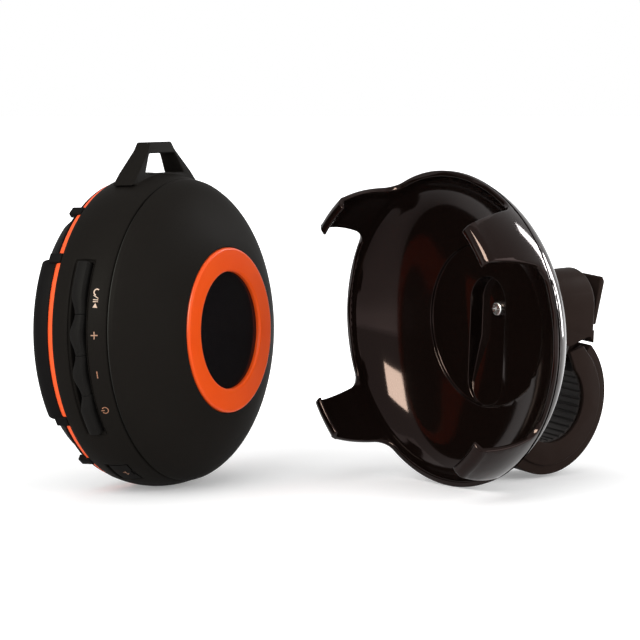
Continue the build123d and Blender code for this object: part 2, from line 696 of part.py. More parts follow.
with BuildPart() as board_screws:
    with BuildSketch(Plane.XY.offset(BOARD_Z + 1.2)):
        with PolarLocations(BOARD_SCREW_R, 4, start_angle=20):
            Circle(1.7)
    extrude(amount=1.0)
    with BuildSketch(Plane.XY.offset(BOARD_Z - 3.2)):
        with PolarLocations(BOARD_SCREW_R, 4, start_angle=20):
            Circle(0.8)
    extrude(amount=4.4)

with BuildPart() as battery:
    with BuildSketch(Plane.XY.offset(-INNER_FLOOR)):
        RectangleRounded(34, 24, 2)
    extrude(amount=INNER_FLOOR + BOARD_Z - 0.6)

# ---------------------------------------------------------------- cradle: bowl
RIM_BORE = SEAM_R + 0.55
CLAW_ANGLES = (CLAW_ANGLE, 180 - CLAW_ANGLE, 180 + CLAW_ANGLE, -CLAW_ANGLE)
CLAW_TOP = BAND_DEPTH + SEAM_GAP + CLAW_TIP_T
RECESS_R = RING_R + 0.5
RECESS_DEPTH = DOME_DEPTH + RING_PROUD + SEAT_GAP
FLOOR_R = RECESS_R + 1.4


def bowl_seat(shift, r_out, r_in):
    """Adds the bowl's curve, parallel to the docked speaker's dome, to a BuildLine."""
    steps = 5
    radii = [r_out + (r_in - r_out) * i / steps for i in range(steps + 1)]
    points = [(r, -dome_depth(min(r, SEAM_R - 0.6)) - shift) for r in radii]
    return Spline(*points)


with BuildPart() as cradle_bowl:
    # claws: upright blades in four directions, kept where a collar that hugs the band is
    for angle in CLAW_ANGLES:
        with BuildSketch(tangent_plane(angle, 25)):
            with BuildLine():
                Polyline(
                    (-36, -1),
                    (-36, 0.8),
                    (-CLAW_HALF_ROOT, 0.8),
                    (-CLAW_HALF_TIP, CLAW_TOP + 1),
                    (CLAW_HALF_TIP, CLAW_TOP + 1),
                    (CLAW_HALF_ROOT, 0.8),
                    (36, 0.8),
                    (36, -1),
                    close=True,
                )
            make_face()
            fillet(vertices().filter_by(lambda v: abs(abs(v.X) - CLAW_HALF_ROOT) < 0.1), CLAW_FILLET)
        extrude(amount=30)
    with BuildSketch(Plane.XZ):
        with BuildLine():
            Polyline((RIM_BORE, -0.6), (RIM_BORE, 0.2))
            ThreePointArc(
                (RIM_BORE, 0.2),
                (CROWN_R + FIT_GAP, CROWN_Z),
                (FRONT_R + FIT_GAP, BAND_DEPTH + FIT_GAP),
            )
            Polyline(
                (FRONT_R + FIT_GAP, BAND_DEPTH + FIT_GAP),
                (FRONT_R + FIT_GAP - CLAW_LIP, CLAW_TOP - 0.8),
                (FRONT_R + FIT_GAP - CLAW_LIP + 0.5, CLAW_TOP),
                (FRONT_R - 0.6, CLAW_TOP),
            )
            ThreePointArc(
                (FRONT_R - 0.6, CLAW_TOP),
                (FRONT_R + 1.2, CLAW_TOP - 0.9),
                (FRONT_R + 2.0, CLAW_TOP - 2.8),
            )
            ThreePointArc(
                (FRONT_R + 2.0, CLAW_TOP - 2.8),
                (CROWN_R + FIT_GAP + 1.5, CROWN_Z),
                (RIM_BORE + 1.6, -0.6),
            )
            Polyline((RIM_BORE + 1.6, -0.6), (RIM_BORE, -0.6))
        make_face()
    revolve(axis=Axis.Z, mode=Mode.INTERSECT)
    # the dish itself
    with BuildSketch(Plane.XZ):
        with BuildLine():
            Polyline((RIM_BORE, 0), (RIM_BORE, -0.5), (SEAM_R - 0.6, -dome_depth(SEAM_R - 0.6) - SEAT_GAP))
            bowl_seat(SEAT_GAP, SEAM_R - 0.6, RECESS_R)
            Polyline(
                (RECESS_R, -dome_depth(RECESS_R) - SEAT_GAP),
                (RECESS_R, -RECESS_DEPTH),
                (0, -RECESS_DEPTH),
                (0, -RECESS_DEPTH - BOWL_WALL),
                (FLOOR_R - 3, -RECESS_DEPTH - BOWL_WALL),
            )
            Spline(
                (FLOOR_R - 3, -RECESS_DEPTH - BOWL_WALL),
                (34, -dome_depth(34) - 3.2),
                (42.5, -dome_depth(42.5) - 3.0),
                (RIM_BORE + 0.9, -2.4),
                (RIM_BORE + 1.6, 0),
            )
            Polyline((RIM_BORE + 1.6, 0), (RIM_BORE + 1.1, 0.8), (RIM_BORE + 0.3, 0.8), (RIM_BORE, 0))
        make_face()
    revolve(axis=Axis.Z)
    # pocket housing behind the dish, with its sloping lower end
    with BuildSketch(Plane.YZ):
        with BuildLine():
            Polyline(
                (POCKET_TOP + BOWL_WALL, -RECESS_DEPTH - 0.5),
                (POCKET_TOP + BOWL_WALL, -POCKET_FLOOR - 2.0),
                (-8, -POCKET_FLOOR - 2.0),
                (POCKET_BOTTOM - 3, -RECESS_DEPTH - 2.6),
                (POCKET_BOTTOM - 3, -RECESS_DEPTH + 0.5),
                (POCKET_BOTTOM + 0.5, -RECESS_DEPTH - 0.5),
                close=True,
            )
        make_face()
    extrude(amount=POCKET_WIDTH / 2 + BOWL_WALL, both=True)
    fillet(
        edges().filter_by(Axis.Z).filter_by(lambda e: abs(e.center().Y - POCKET_TOP - BOWL_WALL) < 0.1),
        POCKET_WIDTH / 2,
    )
    # pocket, cut as an upright slot and then sloped up to the dish at its lower end
    with BuildSketch(Plane.XY.offset(-POCKET_FLOOR)):
        with Locations((0, (POCKET_TOP + POCKET_BOTTOM) / 2)):
            SlotOverall(POCKET_TOP - POCKET_BOTTOM, POCKET_WIDTH, rotation=90)
    extrude(amount=POCKET_FLOOR - 14.0, mode=Mode.SUBTRACT)
    with BuildSketch(Plane.YZ):
        with BuildLine():
            Polyline(
                (-5, -POCKET_FLOOR),
                (POCKET_BOTTOM, -RECESS_DEPTH - 0.4),
                (POCKET_BOTTOM - 2, -RECESS_DEPTH - 0.6),
                (POCKET_BOTTOM - 2, -RECESS_DEPTH - 2.4),
                (-8, -POCKET_FLOOR - 1.8),
                close=True,
            )
        make_face()
    extrude(amount=POCKET_WIDTH / 2 + 0.5, both=True)
    # bearing face for the swivel, and the screw's hole
    with BuildSketch(Plane.XY.offset(-POCKET_FLOOR - 2.0)):
        with Locations((0, SWIVEL_Y)):
            Circle(BARREL_R - 1.5)
    extrude(amount=-0.6)
    with BuildSketch(Plane.XY.offset(-POCKET_FLOOR)):
        with Locations((0, SWIVEL_Y)):
            Circle(SHANK_R + 0.25)
    extrude(amount=-6, mode=Mode.SUBTRACT)

SWIVEL_FACE = POCKET_FLOOR + 2.6
WASHER_T = BARREL_START - SWIVEL_FACE - 0.1
with BuildPart() as friction_washer:
    with BuildSketch(Plane.XY.offset(-SWIVEL_FACE - 0.05)):
        with Locations((0, SWIVEL_Y)):
            Circle(BARREL_R - 2)
            Circle(2.0, mode=Mode.SUBTRACT)
    extrude(amount=-WASHER_T)

with BuildPart() as swivel_screw:
    with BuildSketch(Plane.XY.offset(-POCKET_FLOOR + 0.05)):
        with Locations((0, SWIVEL_Y)):
            Circle(2.2)
    extrude(amount=1.5)
    fillet(edges().group_by(Axis.Z)[-1], 0.6)
    with BuildSketch(Plane.XY.offset(-POCKET_FLOOR + 0.05)):
        with Locations((0, SWIVEL_Y)):
            Circle(SHANK_R)
    extrude(amount=-(BARREL_START - POCKET_FLOOR + NUT_LENGTH - 1))
    with BuildSketch(Plane.XY.offset(-POCKET_FLOOR + 0.85)):
        with Locations((0, SWIVEL_Y)):
            Rectangle(2.4, 0.5)
            Rectangle(0.5, 2.4)
    extrude(amount=1, mode=Mode.SUBTRACT)

with BuildPart() as swivel_nut:
    with BuildSketch(Plane.XY.offset(-BARREL_START - 1)):
        with Locations((0, SWIVEL_Y)):
            RegularPolygon(NUT_R, 6)
            Circle(SHANK_R, mode=Mode.SUBTRACT)
    extrude(amount=-NUT_LENGTH)

# ---------------------------------------------------------------- cradle: clamp
SLOT_HALF = 5.3  # the slot in the clamp body that the jaw's web swings in
WEB_HALF = 3.0
SEAT_R = BAR_R + PAD_T  # radius of the pad seats
RING_CENTRE = (RING_Y, -RING_DEPTH)
ARCH_CENTRE = (RING_Y + ARCH_LIFT, -RING_DEPTH)


def on_ring(angle, radius, centre=RING_CENTRE):
    """Point in a YZ sketch at this angle and radius round a centre; 0 is rearwards."""
    a = radians(angle)
    return (centre[0] + radius * sin(a), centre[1] - radius * cos(a))


def ring_sector(r_low, r_high, start, end, centre=RING_CENTRE):
    """Sketch of a ring sector round a centre, for a YZ plane."""
    middle = (start + end) / 2
    with BuildSketch(Plane.XY) as sector:
        with BuildLine():
            ThreePointArc(
                on_ring(start, r_high, centre), on_ring(middle, r_high, centre), on_ring(end, r_high, centre)
            )
            Line(on_ring(end, r_high, centre), on_ring(end, r_low, centre))
            ThreePointArc(
                on_ring(end, r_low, centre), on_ring(middle, r_low, centre), on_ring(start, r_low, centre)
            )
            Line(on_ring(start, r_low, centre), on_ring(start, r_high, centre))
        make_face()
    return sector.sketch


ARCH_FRONT_ANGLE = 132.0
ARCH_REAR_ANGLE = 66.0
HUB_R = 3.3
with BuildPart() as clamp_body:
    # barrel with a half-round top and flat sides
    with BuildSketch(Plane.XY.offset(-BARREL_START)):
        with Locations((0, SWIVEL_Y)):
            Circle(BARREL_R)
        with Locations((0, (SWIVEL_Y - 4) / 2)):
            Rectangle(2 * BARREL_R, SWIVEL_Y + 4)
    extrude(amount=-(BARREL_END - BARREL_START))
    fillet(edges().group_by(Axis.Z)[0].filter_by(GeomType.CIRCLE), 0.8)
    # arch over the bar, between two straight walls
    with BuildSketch(Plane.YZ):
        with BuildLine():
            Polyline(
                (-3.5, -BARREL_START),
                (RING_Y + 15.6, -BARREL_START),
                on_ring(ARCH_FRONT_ANGLE, SEAT_R + 0.6, ARCH_CENTRE),
                on_ring(ARCH_REAR_ANGLE, SEAT_R + 0.6, ARCH_CENTRE),
                (-5.6, -BARREL_END + 3.2),
                (-5.2, -BARREL_END),
                (-3.5, -BARREL_END),
                close=True,
            )
        make_face()
    extrude(amount=BARREL_R, both=True)
    with BuildSketch(Plane.YZ):
        with Locations(ARCH_CENTRE):
            Circle(SEAT_R)
    extrude(amount=BARREL_R, both=True, mode=Mode.SUBTRACT)
    # rear wall behind the jaw's band, at each side of the slot
    with BuildSketch(Plane.YZ):
        with BuildLine():
            Polyline(
                (-3.5, -BARREL_END),
                (-7.6, -BARREL_END),
                on_ring(48, JAW_R + 0.5),
                (-3.5, -BARREL_END + 3),
                close=True,
            )
        make_face()
    extrude(amount=BARREL_R, both=True)
    # slot for the jaw's web and lever, open to the rear and below
    with BuildSketch(Plane.YZ):
        with BuildLine():
            Polyline(
                (-14, -PIVOT_DEPTH + HUB_R + 1),
                (PIVOT_Y + HUB_R + 1, -PIVOT_DEPTH + HUB_R + 1),
                (PIVOT_Y + HUB_R + 1, -BARREL_END - 1),
                (-14, -BARREL_END - 1),
                close=True,
            )
        make_face()
    extrude(amount=SLOT_HALF, both=True, mode=Mode.SUBTRACT)
    with BuildSketch(Plane.YZ.offset(-PIN_HALF)):
        with Locations((PIVOT_Y, -PIVOT_DEPTH)):
            Circle(PIN_R)
    extrude(amount=2 * PIN_HALF, mode=Mode.SUBTRACT)
    with BuildSketch(Plane.XY.offset(-BARREL_START)):
        with Locations((0, SWIVEL_Y)):
            Circle(SHANK_R + 0.15)
    extrude(amount=-NUT_LENGTH - 2, mode=Mode.SUBTRACT)
    with BuildSketch(Plane.XY.offset(-BARREL_START - 1)):
        with Locations((0, SWIVEL_Y)):
            RegularPolygon(NUT_R, 6)
    extrude(amount=-NUT_LENGTH, mode=Mode.SUBTRACT)

with BuildPart() as upper_pad:
    with BuildSketch(Plane.YZ):
        add(ring_sector(BAR_R, SEAT_R, ARCH_REAR_ANGLE + 1, ARCH_FRONT_ANGLE - 2, ARCH_CENTRE))
    extrude(amount=JAW_HALF - 0.6, both=True)
    with BuildSketch(Plane.YZ):
        with Locations(ARCH_CENTRE):
            with PolarLocations(
                BAR_R, 5, start_angle=ARCH_REAR_ANGLE + 9 - 90, angular_range=5 * RIB_PITCH
            ):
                Circle(RIB_GROOVE_R)
    extrude(amount=JAW_HALF, both=True, mode=Mode.SUBTRACT)

with BuildPart() as lower_jaw:
    # outer band, then the two cheeks that hold the pad, drawn out to a slanting upper end
    with BuildSketch(Plane.YZ):
        add(ring_sector(SEAT_R, JAW_R, JAW_FRONT_ANGLE, JAW_REAR_ANGLE))
    extrude(amount=JAW_HALF - 1.0, both=True)
    for side in (-1, 1):
        with BuildSketch(Plane.YZ.offset(side * (JAW_HALF - CHEEK_T))):
            add(ring_sector(CHEEK_R, FACE_R, JAW_FRONT_ANGLE, JAW_REAR_ANGLE))
            with BuildLine():
                Polyline(
                    on_ring(JAW_REAR_ANGLE, FACE_R),
                    on_ring(JAW_REAR_ANGLE, CHEEK_R),
                    on_ring(JAW_REAR_ANGLE + 22, CHEEK_R + 3.6),
                    on_ring(JAW_REAR_ANGLE + 9, FACE_R + 0.6),
                    close=True,
                )
            make_face()
        extrude(amount=side * CHEEK_T)
    # web up to the pivot, hub and lever arm
    with BuildSketch(Plane.YZ):
        with BuildLine():
            Polyline(
                on_ring(JAW_REAR_ANGLE - 26, JAW_R - 0.5),
                on_ring(JAW_REAR_ANGLE - 26, SEAT_R + 1),
                on_ring(JAW_REAR_ANGLE, SEAT_R + 1),
                (PIVOT_Y - 2, -PIVOT_DEPTH + 2.6),
                (PIVOT_Y + 2, -PIVOT_DEPTH + 1.5),
                (PIVOT_Y + 2.4, -BARREL_END - 1.6),
                (PIVOT_Y - 0.6, -BARREL_END - 1.6),
                (PIVOT_Y - 3, -BARREL_END + 1),
                on_ring(JAW_REAR_ANGLE, JAW_R),
                close=True,
            )
        make_face()
        with Locations((PIVOT_Y, -PIVOT_DEPTH)):
            Circle(HUB_R)
    extrude(amount=WEB_HALF, both=True)
    # lever blade behind the barrel, leaning away from it
    with BuildSketch(Plane.YZ):
        with BuildLine():
            Polyline(
                (PIVOT_Y - 0.6, -BARREL_END - 1.2),
                (FIN_TOP_Y - 0.4, -BARREL_END - 4.0),
                (FIN_TOP_Y, -BARREL_END - 4.9),
                (FIN_TOP_Y - 1.7, -BARREL_END - 5.9),
                (PIVOT_Y - 0.6, -BARREL_END - 2.9),
                close=True,
            )
        make_face()
        fillet(vertices().group_by(Axis.X)[-1], 0.4)
    extrude(amount=FIN_HALF, both=True)
    # running hole for the pin, and the flat nose that clears the bowl
    with BuildSketch(Plane.YZ.offset(-JAW_HALF)):
        with Locations((PIVOT_Y, -PIVOT_DEPTH)):
            Circle(PIN_R + RUNNING_GAP)
    extrude(amount=2 * JAW_HALF, mode=Mode.SUBTRACT)
    with BuildSketch(Plane.XY.offset(-JAW_NOSE_DEPTH)):
        with Locations((0, RING_Y)):
            Rectangle(30, 60)
    extrude(amount=20, mode=Mode.SUBTRACT)

with BuildPart() as lower_pad:
    with BuildSketch(Plane.YZ):
        add(ring_sector(BAR_R, SEAT_R, JAW_FRONT_ANGLE + 2, JAW_REAR_ANGLE - 1))
    extrude(amount=JAW_HALF - CHEEK_T, both=True)
    with BuildSketch(Plane.YZ):
        with Locations(RING_CENTRE):
            with PolarLocations(
                BAR_R, 18, start_angle=JAW_FRONT_ANGLE + 8 - 90, angular_range=18 * RIB_PITCH
            ):
                Circle(RIB_GROOVE_R)
    extrude(amount=JAW_HALF, both=True, mode=Mode.SUBTRACT)

with BuildPart() as jaw_pin:
    with BuildSketch(Plane.YZ.offset(-PIN_HALF)):
        with Locations((PIVOT_Y, -PIVOT_DEPTH)):
            Circle(PIN_R)
    extrude(amount=2 * PIN_HALF)

with BuildPart() as jaw_spring:
    for side in (-1, 1):
        for turn in range(3):
            with BuildSketch(Plane.YZ.offset(side * (WEB_HALF + 0.35 + 0.6 * turn))):
                with Locations((PIVOT_Y, -PIVOT_DEPTH)):
                    Circle(PIN_R + 0.75)
                    Circle(PIN_R + 0.15, mode=Mode.SUBTRACT)
            extrude(amount=side * 0.6)

# ---------------------------------------------------------------- standing the pair up and writing it
SPEAKER_PIECES = {
    "rim_band": rim_band,
    "rear_shell": rear_shell,
    "seam_gasket": seam_gasket,
    "rear_ring": rear_ring,
    "rear_plate": rear_plate,
    "front_trim_ring": front_trim_ring,
    "front_bezel": front_bezel,
    "grille": grille,
    "acoustic_mesh": acoustic_mesh,
    **dict(zip(KEY_NAMES, keys)),
    "key_board": key_board,
    "key_switches": key_switches,
    "port_flap": port_flap,
    "usb_socket": usb_socket,
    "driver_basket": driver_basket,
    "driver_surround": driver_surround,
    "driver_cone": driver_cone,
    "voice_coil": voice_coil,
    "driver_yoke": driver_yoke,
    "driver_magnet": driver_magnet,
    "housing_screws": housing_screws,
    "driver_screws": driver_screws,
    "main_board": main_board,
    "board_screws": board_screws,
    "battery": battery,
}
CRADLE_PIECES = {
    "cradle_bowl": cradle_bowl,
    "swivel_screw": swivel_screw,
    "friction_washer": friction_washer,
    "swivel_nut": swivel_nut,
    "clamp_body": clamp_body,
    "upper_pad": upper_pad,
    "lower_jaw": lower_jaw,
    "lower_pad": lower_pad,
    "jaw_pin": jaw_pin,
    "jaw_spring": jaw_spring,
}


def standing(turn, lean, roll, outward, x):
    """Frame of a group: its Z turned round from the left, leaned down, then rolled about itself."""
    t = radians(turn)
    a = radians(lean)
    z_dir = (-sin(t) * cos(a), outward * cos(t) * cos(a), -sin(a))
    x_dir = (-outward * cos(t), -sin(t), 0)
    return Plane(origin=(x, 0, 0), x_dir=x_dir, z_dir=z_dir).location * Rotation(0, 0, roll)


def grounded(pieces, frame):
    """The frame raised so that the group's lowest point is on the ground."""
    low = min(piece.part.moved(frame).bounding_box().min.Z for piece in pieces.values())
    return Pos(0, 0, -low) * frame


speaker_seat = grounded(SPEAKER_PIECES, standing(SPEAKER_TURN, SPEAKER_LEAN, 0, 1, -SPACING / 2))
cradle_seat = grounded(CRADLE_PIECES, standing(CRADLE_TURN, CRADLE_LEAN, CRADLE_ROLL, -1, SPACING / 2))
boxes = [piece.part.moved(speaker_seat).bounding_box() for piece in SPEAKER_PIECES.values()]
boxes += [piece.part.moved(cradle_seat).bounding_box() for piece in CRADLE_PIECES.values()]
middle_x = (min(b.min.X for b in boxes) + max(b.max.X for b in boxes)) / 2
middle_y = (min(b.min.Y for b in boxes) + max(b.max.Y for b in boxes)) / 2
speaker_seat = Pos(-middle_x, -middle_y, 0) * speaker_seat
cradle_seat = Pos(-middle_x, -middle_y, 0) * cradle_seat
print("speaker frame", speaker_seat)
print("cradle frame", cradle_seat)

os.makedirs("parts", exist_ok=True)
for pieces, seat in ((SPEAKER_PIECES, speaker_seat), (CRADLE_PIECES, cradle_seat)):
    for name, piece in pieces.items():
        piece.part.label = name
        placed = piece.part.moved(seat)
        placed.label = name
        export_step(placed, f"parts/{name}.step")
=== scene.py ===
# %% [markdown]
# # A round shower speaker and its rail cradle
# The model is a pair: a splash-proof speaker that stands on its edge, and the glossy cradle that
# carries it on a rail. The solids come from the CAD frame, already in metres and in place. This
# lesson gives them their surfaces, adds the printed symbols and the moulded keys, and lights them
# as in a small product studio.

# %% Load the frame and keep its box
import json
from math import atan2, cos, degrees, pi, radians, sin

import bpy
from mathutils import Matrix, Vector

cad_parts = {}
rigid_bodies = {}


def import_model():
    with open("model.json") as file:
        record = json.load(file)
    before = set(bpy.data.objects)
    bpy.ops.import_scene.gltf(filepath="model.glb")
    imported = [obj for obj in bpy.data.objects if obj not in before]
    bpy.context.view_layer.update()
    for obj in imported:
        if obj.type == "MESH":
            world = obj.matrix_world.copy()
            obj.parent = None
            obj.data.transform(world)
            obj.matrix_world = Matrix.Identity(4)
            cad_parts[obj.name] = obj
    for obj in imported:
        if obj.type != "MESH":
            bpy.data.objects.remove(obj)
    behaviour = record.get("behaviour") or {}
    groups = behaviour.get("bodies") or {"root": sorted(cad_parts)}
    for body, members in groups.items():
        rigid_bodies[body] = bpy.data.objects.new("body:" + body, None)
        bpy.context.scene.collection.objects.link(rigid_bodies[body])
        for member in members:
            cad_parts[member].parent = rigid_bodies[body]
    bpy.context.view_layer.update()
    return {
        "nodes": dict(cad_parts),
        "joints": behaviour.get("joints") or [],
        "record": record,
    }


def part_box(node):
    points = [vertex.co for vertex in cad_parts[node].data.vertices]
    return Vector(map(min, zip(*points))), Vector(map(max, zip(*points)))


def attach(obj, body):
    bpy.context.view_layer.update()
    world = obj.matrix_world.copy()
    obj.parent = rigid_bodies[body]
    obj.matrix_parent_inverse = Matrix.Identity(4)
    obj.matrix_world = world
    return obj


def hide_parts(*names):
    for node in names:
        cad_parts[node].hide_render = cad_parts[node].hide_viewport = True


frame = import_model()
nodes = frame["nodes"]
joints = {joint["name"]: joint for joint in frame["joints"]}
mounts = {mount["name"]: mount for mount in frame["record"]["mounts"]}
MM = 0.001
print("loaded", len(nodes), "nodes")

# %% [markdown]
# ## Two local frames
# Both halves of the pair stand turned and leaning, so it is easier to draw in their own axes and
# to lay the finished piece into the room at the end. The speaker's axis is the line its cone moves
# along, and its centre is the middle of the seam gasket, which is the same all round. The
# cradle's axes are those of its swivel and of its jaw hinge.


# %% The speaker's and the cradle's axes
def axes_matrix(origin, x_axis, z_axis):
    """Matrix from a local frame to the room."""
    z = Vector(z_axis).normalized()
    x = (Vector(x_axis) - z * Vector(x_axis).dot(z)).normalized()
    y = z.cross(x)
    turn = Matrix((x, y, z)).transposed().to_4x4()
    return Matrix.Translation(Vector(origin)) @ turn


gasket_low, gasket_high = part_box("seam_gasket")
speaker_axis = Vector(joints["cone_stroke"]["axis"])
speaker_side = Vector((0, 0, 1)).cross(speaker_axis)
SPEAKER = axes_matrix((gasket_low + gasket_high) / 2, speaker_side, speaker_axis)
CRADLE = axes_matrix(
    mounts["cradle_seat"]["pos_m"], joints["jaw_hinge"]["axis"], joints["clamp_swivel"]["axis"]
)
print("speaker centre", [round(v, 4) for v in SPEAKER.translation])
print("cradle centre", [round(v, 4) for v in CRADLE.translation])

# %% [markdown]
# ## A small language for materials
# A material is a graph of nodes. Written node by node it takes many lines, so two helpers are
# made: `Number` wraps a socket so that sums and products on it add Math nodes, and `Finish` makes
# a material with one Principled shader and adds any other node by its type. Patterns are measured
# in millimetres from the middle of the speaker or the cradle.


# %% Helpers for shader graphs
class Number:
    """A number socket that Python's operators work on."""

    def __init__(self, finish, socket):
        self.finish = finish
        self.socket = socket

    def _math(self, operation, first, second=None):
        return self.finish.add("ShaderNodeMath", {"operation": operation}, {0: first, 1: second})

    def __add__(self, other):
        return self._math("ADD", self, other)

    def __rsub__(self, other):
        return self._math("SUBTRACT", other, self)

    def __mul__(self, other):
        return self._math("MULTIPLY", self, other)


class Finish:
    """A material with one Principled shader. Constants are set on the shader's own sockets."""

    def __init__(self, name, color, roughness, **constants):
        self.material = bpy.data.materials.new(name)
        self.material.use_nodes = True
        self.tree = self.material.node_tree
        self.shader = self.tree.nodes["Principled BSDF"]
        self.shader.inputs["Base Color"].default_value = (*color, 1)
        self.shader.inputs["Roughness"].default_value = roughness
        for key, value in constants.items():
            socket_name = key.replace("_", " ").title().replace("Ior", "IOR")
            self.shader.inputs[socket_name].default_value = value

    def add(self, kind, settings=None, values=None, output=0):
        """Adds any node: its settings first, then the numbers or links of its sockets."""
        node = self.tree.nodes.new(kind)
        for key, setting in (settings or {}).items():
            if key == "stops":
                ramp = node.color_ramp
                for element, (place, shade) in zip(ramp.elements, setting):
                    element.position = place
                    element.color = shade
            else:
                setattr(node, key, setting)
        for key, value in (values or {}).items():
            if value is None:
                continue
            if isinstance(value, Number):
                self.tree.links.new(value.socket, node.inputs[key])
            else:
                node.inputs[key].default_value = value
        return Number(self, node.outputs[output])

    def place(self, matrix):
        """Object coordinates in millimetres, measured in a local frame."""
        room = self.add("ShaderNodeTexCoord", output="Object")
        back = matrix.inverted()
        turned = self.add(
            "ShaderNodeMapping",
            {},
            {"Vector": room, "Location": back.translation, "Rotation": back.to_euler("XYZ")},
        )
        return self.add("ShaderNodeMapping", {}, {"Vector": turned, "Scale": (1000, 1000, 1000)})

    def noise(self, place, scale, detail=3.0, rough=0.5):
        """Noise from 0 to 1, with this many lumps to a millimetre."""
        return self.add(
            "ShaderNodeTexNoise",
            {},
            {"Vector": place, "Scale": scale, "Detail": detail, "Roughness": rough},
        )

    def streaks(self, place, stretch):
        """Noise drawn out into streaks, with a scale along each axis."""
        drawn = self.add("ShaderNodeMapping", {}, {"Vector": place, "Scale": stretch})
        return self.add("ShaderNodeTexNoise", {}, {"Vector": drawn, "Scale": 1.0, "Detail": 4.0})

    def blend(self, amount, first, second):
        """A colour between two colours."""
        return self.add(
            "ShaderNodeMix",
            {"data_type": "RGBA"},
            {0: amount, 6: (*first, 1), 7: (*second, 1)},
            output=2,
        )

    def paint(self, **links):
        """Links varying values to the shader."""
        for socket_name, value in links.items():
            target = self.shader.inputs[socket_name.replace("_", " ").title()]
            self.tree.links.new(value.socket, target)

    def bump(self, height, depth_mm, strength=1.0):
        """A bump whose height runs from 0 to depth_mm."""
        node = self.add(
            "ShaderNodeBump", {}, {"Strength": strength, "Distance": depth_mm * MM, "Height": height}
        )
        self.paint(Normal=node)


def shade(red, green, blue):
    """A screen colour, 0 to 255, as the linear colour that shaders use."""
    return tuple(
        (c / 255 / 12.92) if c / 255 <= 0.04045 else ((c / 255 + 0.055) / 1.055) ** 2.4
        for c in (red, green, blue)
    )


# %% [markdown]
# ## Soft-touch black
# The speaker's shells are coated with a soft rubbery paint. It is almost black, has no sharp
# highlight, and shows a very fine even grain with faint warmer clouds where hands polish it.
# Roughness that varies a little keeps big curved surfaces from looking like flat grey.


# %% Soft-touch shells
def soft_touch(name, color, matrix, grain=0.016):
    """Matt rubbery paint with a fine grain and faint polished clouds."""
    finish = Finish(name, color, 0.55, specular_ior_level=0.008)
    place = finish.place(matrix)
    clouds = finish.noise(place, 0.05, 2.0)
    grains = finish.noise(place, 5.5, 2.0, 0.6)
    warmer = tuple(c * 1.22 for c in color)
    finish.paint(
        base_color=finish.blend(clouds, color, warmer),
        roughness=clouds * 0.10 + 0.44 + grains * 0.06,
    )
    finish.bump(grains, grain)
    return finish.material


shell_black = soft_touch("shell_soft_touch", shade(23, 21, 19), SPEAKER)
bezel_black = soft_touch("bezel_soft_touch", shade(20, 19, 19), SPEAKER, grain=0.012)
print("soft-touch finishes made")

# %% [markdown]
# ## Orange ring and trim
# The two rings are moulded in orange plastic with a satin skin. Real mouldings have tiny flow
# variations in colour and a soft sheen, so the colour drifts a little towards yellow and the
# roughness is broken up with a fine noise.


# %% Orange plastic
def satin_orange(name, color, brighter, roughness):
    """Satin moulded plastic whose colour drifts slightly."""
    finish = Finish(name, color, roughness, specular_ior_level=0.16)
    place = finish.place(SPEAKER)
    drift = finish.noise(place, 0.06, 2.0)
    pores = finish.noise(place, 3.5, 3.0, 0.6)
    finish.paint(base_color=finish.blend(drift, color, brighter), roughness=pores * 0.12 + roughness)
    finish.bump(pores, 0.006)
    return finish.material


ring_orange = satin_orange("ring_orange", shade(214, 66, 8), shade(222, 82, 20), 0.34)
trim_orange = satin_orange("trim_orange", shade(240, 78, 22), shade(244, 96, 44), 0.38)
print("orange finishes made")

# %% [markdown]
# ## Glossy plastics
# The rear plate and the cradle are polished black-brown plastic. A glossy skin is nearly perfect,
# so its life comes from three small things: a long slow waviness left by the mould, hairline
# scratches that only change the roughness, and a little dust. The cradle's brown is so deep that
# it only shows where light reflects.


# %% Glossy brown-black and the rear plate
def polished(name, color, matrix, roughness, wave=0.02, level=0.5, tint=(1, 1, 1)):
    """Polished plastic with mould waviness, faint wipe marks and dust."""
    finish = Finish(name, color, roughness, specular_ior_level=level, specular_tint=(*tint, 1))
    place = finish.place(matrix)
    swell = finish.noise(place, 0.045, 1.0)
    wipes = finish.streaks(place, (0.15, 2.4, 0.15))
    dust = finish.add(
        "ShaderNodeValToRGB",
        {"stops": ((0.70, (0, 0, 0, 1)), (0.80, (1, 1, 1, 1)))},
        {"Fac": finish.noise(place, 2.2, 2.0, 0.7)},
    )
    dusty = tuple(c * 1.5 + 0.004 for c in color)
    finish.paint(
        base_color=finish.blend(dust, color, dusty),
        roughness=wipes * 0.06 + (roughness - 0.03) + dust * 0.05,
    )
    finish.bump(swell, wave)
    return finish.material


cradle_gloss = polished(
    "cradle_gloss", shade(15, 9, 7), CRADLE, 0.08, wave=0.06, level=0.15, tint=(1.0, 0.72, 0.68)
)
plate_gloss = polished("plate_gloss", shade(14, 13, 14), SPEAKER, 0.16, wave=0.004, level=0.2)
print("glossy finishes made")


# %% [markdown]
# ## Clamp plastic and its ribbed rubber
# The clamp is glass-filled nylon with a fine eroded texture, darker and duller than the bowl. Its
# pads are rubber. Both get a stippled bump and drift slightly lighter in soft random clouds; the
# rubber is rougher.


# %% Textured clamp plastic and rubber
def stippled(name, color, matrix, roughness, lumps, depth, level=0.4):
    """Matt plastic or rubber with an eroded skin."""
    finish = Finish(name, color, roughness, specular_ior_level=level)
    place = finish.place(matrix)
    clouds = finish.noise(place, 0.09, 3.0)
    skin = finish.noise(place, lumps, 3.0, 0.65)
    lighter = tuple(c * 1.35 for c in color)
    finish.paint(
        base_color=finish.blend(clouds, color, lighter),
        roughness=skin * 0.16 + (roughness - 0.08),
    )
    finish.bump(skin, depth)
    return finish.material


